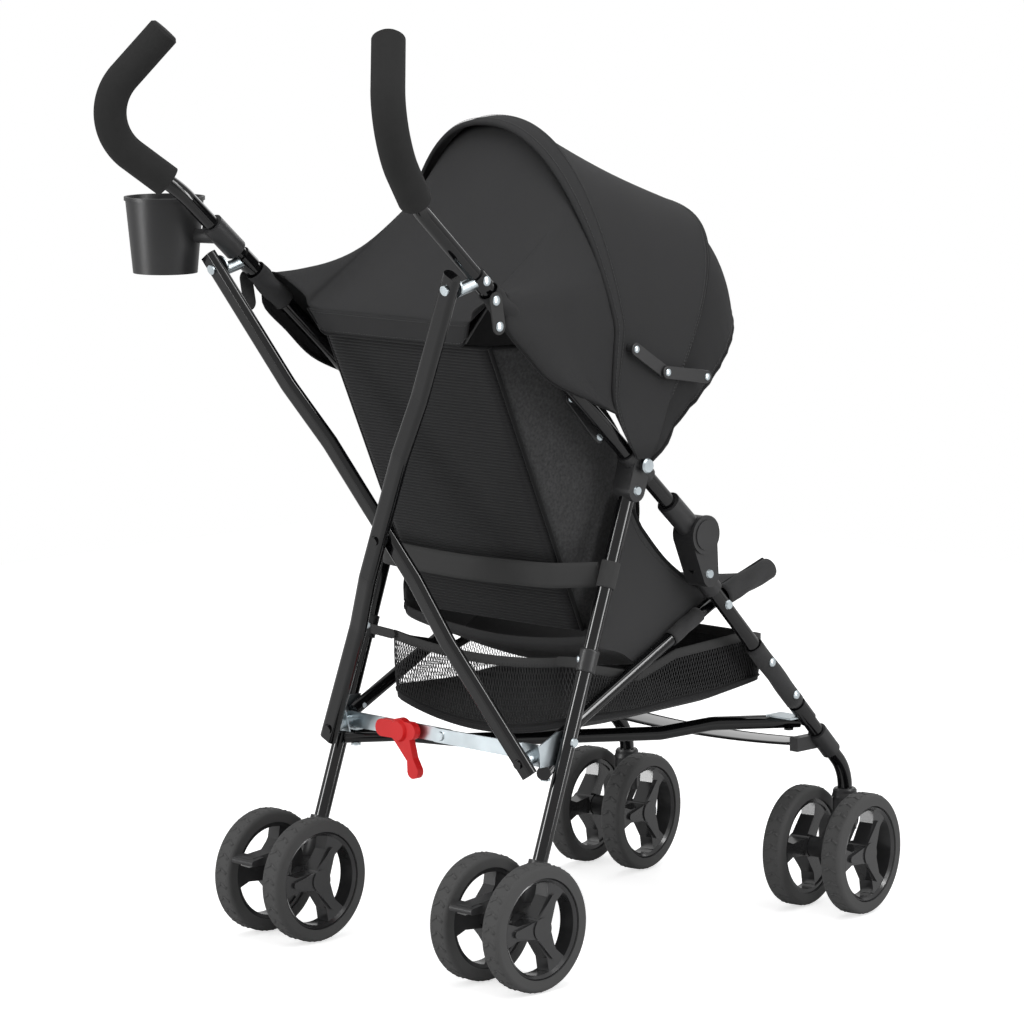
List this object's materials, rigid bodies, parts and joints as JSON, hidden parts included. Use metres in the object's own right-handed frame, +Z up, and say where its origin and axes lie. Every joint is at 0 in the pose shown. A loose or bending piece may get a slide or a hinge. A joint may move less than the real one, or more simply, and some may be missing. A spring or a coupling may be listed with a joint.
{
  "type": "umbrella stroller",
  "caption": "Folding umbrella stroller with a hooded mesh seat, double wheels, front casters, crossed frame, basket and cup holder.",
  "frame": {"origin": "on the floor, on the plane midway between the side frames", "axes": "+Z up, the stroller faces -Y, its left side is +X"},
  "size_m": [0.5416, 0.8366, 1.0428],
  "materials": {
    "black_tube": "gloss black paint",
    "foam_grip": "fine-grained foam",
    "black_plastic": "satin moulded",
    "zinc_plate": "zinc plated",
    "red_plastic": "moulded",
    "tyre": "matt with a moulded tread",
    "black_cloth": "plain woven",
    "black_net": "open mesh",
    "webbing": "woven webbing"
  },
  "bodies": {
    "right_frame": {"right_handle_tube": "black_tube", "right_grip": "foam_grip", "right_front_leg": "black_tube", "right_rear_leg": "black_tube", "right_seat_tube": "black_tube", "right_mouldings": "black_plastic", "right_fittings": "zinc_plate", "right_rear_housing": "black_plastic", "right_rear_axle": "zinc_plate", "hood": "black_cloth", "hood_bow": "black_plastic", "seat_sling": "black_cloth", "recline_strap": "webbing", "basket": "black_net", "foot_strap": "webbing"},
    "left_frame": {"left_handle_tube": "black_tube", "left_grip": "foam_grip", "left_front_leg": "black_tube", "left_rear_leg": "black_tube", "left_seat_tube": "black_tube", "left_mouldings": "black_plastic", "left_fittings": "zinc_plate", "left_rear_housing": "black_plastic", "left_rear_axle": "zinc_plate", "cup_holder": "black_plastic"},
    "cross_a": {"cross_tube_a": "black_tube"},
    "cross_b": {"cross_tube_b": "black_tube"},
    "lower_a": {"lower_tube_a": "black_tube"},
    "lower_b": {"lower_tube_b": "black_tube"},
    "lock_left": {"left_lock_bar": "zinc_plate"},
    "lock_right": {"right_lock_bar": "zinc_plate"},
    "lever": {"lock_lever": "red_plastic"},
    "visor": {"visor": "black_cloth", "visor_bow": "black_plastic"},
    "stay_rear": {"stay_rear": "black_plastic"},
    "stay_front": {"stay_front": "black_plastic"},
    "seat_back": {"seat_back": "black_net", "harness": "webbing"},
    "left_brake": {"left_brake_pedal": "black_plastic"},
    "left_caster": {"left_caster_fork": "black_plastic", "left_front_axle": "zinc_plate"},
    "left_rear_outer_wheel": {"left_rear_outer_rim": "black_plastic", "left_rear_outer_tyre": "tyre"},
    "left_front_outer_wheel": {"left_front_outer_rim": "black_plastic", "left_front_outer_tyre": "tyre"},
    "left_rear_inner_wheel": {"left_rear_inner_rim": "black_plastic", "left_rear_inner_tyre": "tyre"},
    "left_front_inner_wheel": {"left_front_inner_rim": "black_plastic", "left_front_inner_tyre": "tyre"},
    "right_brake": {"right_brake_pedal": "black_plastic"},
    "right_caster": {"right_caster_fork": "black_plastic", "right_front_axle": "zinc_plate"},
    "right_rear_outer_wheel": {"right_rear_outer_rim": "black_plastic", "right_rear_outer_tyre": "tyre"},
    "right_front_outer_wheel": {"right_front_outer_rim": "black_plastic", "right_front_outer_tyre": "tyre"},
    "right_rear_inner_wheel": {"right_rear_inner_rim": "black_plastic", "right_rear_inner_tyre": "tyre"},
    "right_front_inner_wheel": {"right_front_inner_rim": "black_plastic", "right_front_inner_tyre": "tyre"}
  },
  "joints": [
    {"name": "fold", "type": "slide", "parent": "right_frame", "child": "left_frame", "axis": [-1, 0, 0], "range_m": [0, 0.15], "deforming": ["hood", "hood_bow", "seat_sling", "recline_strap", "basket", "foot_strap", "visor", "visor_bow", "stay_rear", "stay_front", "seat_back", "harness"]},
    {"name": "cross_a_turn", "type": "hinge", "parent": "right_frame", "child": "cross_a", "pos_m": [-0.184, 0.25877, 0.76792], "axis": [0, 0.9679, -0.2513], "range_deg": [0, 15.97]},
    {"name": "cross_b_turn", "type": "hinge", "parent": "left_frame", "child": "cross_b", "pos_m": [0.184, 0.25877, 0.76792], "axis": [0, -0.9679, 0.2513], "range_deg": [0, 15.97]},
    {"name": "lower_a_turn", "type": "hinge", "parent": "left_frame", "child": "lower_a", "pos_m": [0.1515, 0.08327, 0.222], "axis": [0, 0, 1], "range_deg": [0, 19.56]},
    {"name": "lower_b_turn", "type": "hinge", "parent": "right_frame", "child": "lower_b", "pos_m": [-0.1515, 0.08327, 0.222], "axis": [0, 0, -1], "range_deg": [0, 19.56]},
    {"name": "lock_left_turn", "type": "hinge", "parent": "left_frame", "child": "lock_left", "pos_m": [0.15, 0.09577, 0.243], "axis": [0, 1, 0], "range_deg": [0, 60.5]},
    {"name": "lock_right_turn", "type": "hinge", "parent": "right_frame", "child": "lock_right", "pos_m": [-0.15, 0.09577, 0.243], "axis": [0, -1, 0], "range_deg": [0, 60.5]},
    {"name": "lever_turn", "type": "hinge", "parent": "lock_left", "child": "lever", "pos_m": [0.058, 0.09577, 0.243], "axis": [0, 1, 0], "range_deg": [0, 30]},
    {"name": "visor_turn", "type": "hinge", "parent": "right_frame", "child": "visor", "pos_m": [0, -0.03402, 0.55277], "axis": [-1, 0, 0], "range_deg": [0, 24]},
    {"name": "stay_rear_turn", "type": "hinge", "parent": "right_frame", "child": "stay_rear", "pos_m": [0, -0.02702, 0.68127], "axis": [1, 0, 0], "range_deg": [0, 36.75]},
    {"name": "stay_front_turn", "type": "hinge", "parent": "visor", "child": "stay_front", "pos_m": [0, -0.13802, 0.64227], "axis": [-1, 0, 0], "range_deg": [0, 31.56]},
    {"name": "recline", "type": "hinge", "parent": "right_frame", "child": "seat_back", "pos_m": [0, 0.046, 0.362], "axis": [1, 0, 0], "range_deg": [0, 15]},
    {"name": "left_brake_turn", "type": "hinge", "parent": "left_frame", "child": "left_brake", "pos_m": [0.175, 0.16776, 0.098], "axis": [-1, 0, 0], "range_deg": [0, 15]},
    {"name": "left_caster_turn", "type": "hinge", "parent": "left_frame", "child": "left_caster", "pos_m": [0.175, -0.392, 0], "axis": [0, 0, 1], "continuous": true},
    {"name": "left_rear_outer_spin", "type": "hinge", "parent": "left_frame", "child": "left_rear_outer_wheel", "pos_m": [0.215, 0.16576, 0.07], "axis": [1, 0, 0], "continuous": true},
    {"name": "left_front_outer_spin", "type": "hinge", "parent": "left_caster", "child": "left_front_outer_wheel", "pos_m": [0.21013, -0.35809, 0.07], "axis": [0.9877, 0.1564, 0], "continuous": true},
    {"name": "left_rear_inner_spin", "type": "hinge", "parent": "left_frame", "child": "left_rear_inner_wheel", "pos_m": [0.135, 0.16576, 0.07], "axis": [1, 0, 0], "continuous": true},
    {"name": "left_front_inner_spin", "type": "hinge", "parent": "left_caster", "child": "left_front_inner_wheel", "pos_m": [0.13111, -0.3706, 0.07], "axis": [0.9877, 0.1564, 0], "continuous": true},
    {"name": "right_brake_turn", "type": "hinge", "parent": "right_frame", "child": "right_brake", "pos_m": [-0.175, 0.16776, 0.098], "axis": [-1, 0, 0], "range_deg": [0, 15]},
    {"name": "right_caster_turn", "type": "hinge", "parent": "right_frame", "child": "right_caster", "pos_m": [-0.175, -0.392, 0], "axis": [0, 0, 1], "continuous": true},
    {"name": "right_rear_outer_spin", "type": "hinge", "parent": "right_frame", "child": "right_rear_outer_wheel", "pos_m": [-0.215, 0.16576, 0.07], "axis": [1, 0, 0], "continuous": true},
    {"name": "right_front_outer_spin", "type": "hinge", "parent": "right_caster", "child": "right_front_outer_wheel", "pos_m": [-0.21889, -0.3706, 0.07], "axis": [0.9877, 0.1564, 0], "continuous": true},
    {"name": "right_rear_inner_spin", "type": "hinge", "parent": "right_frame", "child": "right_rear_inner_wheel", "pos_m": [-0.135, 0.16576, 0.07], "axis": [1, 0, 0], "continuous": true},
    {"name": "right_front_inner_spin", "type": "hinge", "parent": "right_caster", "child": "right_front_inner_wheel", "pos_m": [-0.13987, -0.35809, 0.07], "axis": [0.9877, 0.1564, 0], "continuous": true}
  ],
  "couplings": [
    {"joint": "cross_a_turn", "follows": "fold", "rad_per_m": 1.8},
    {"joint": "cross_b_turn", "follows": "fold", "rad_per_m": 1.8},
    {"joint": "lower_a_turn", "follows": "fold", "rad_per_m": 2.2177},
    {"joint": "lower_b_turn", "follows": "fold", "rad_per_m": 2.2177},
    {"joint": "lock_left_turn", "follows": "fold", "rad_per_m": 6.9813},
    {"joint": "lock_right_turn", "follows": "fold", "rad_per_m": 6.9813},
    {"joint": "stay_rear_turn", "follows": "visor_turn", "ratio": 1.5103},
    {"joint": "stay_front_turn", "follows": "visor_turn", "ratio": 1.2943}
  ]
}
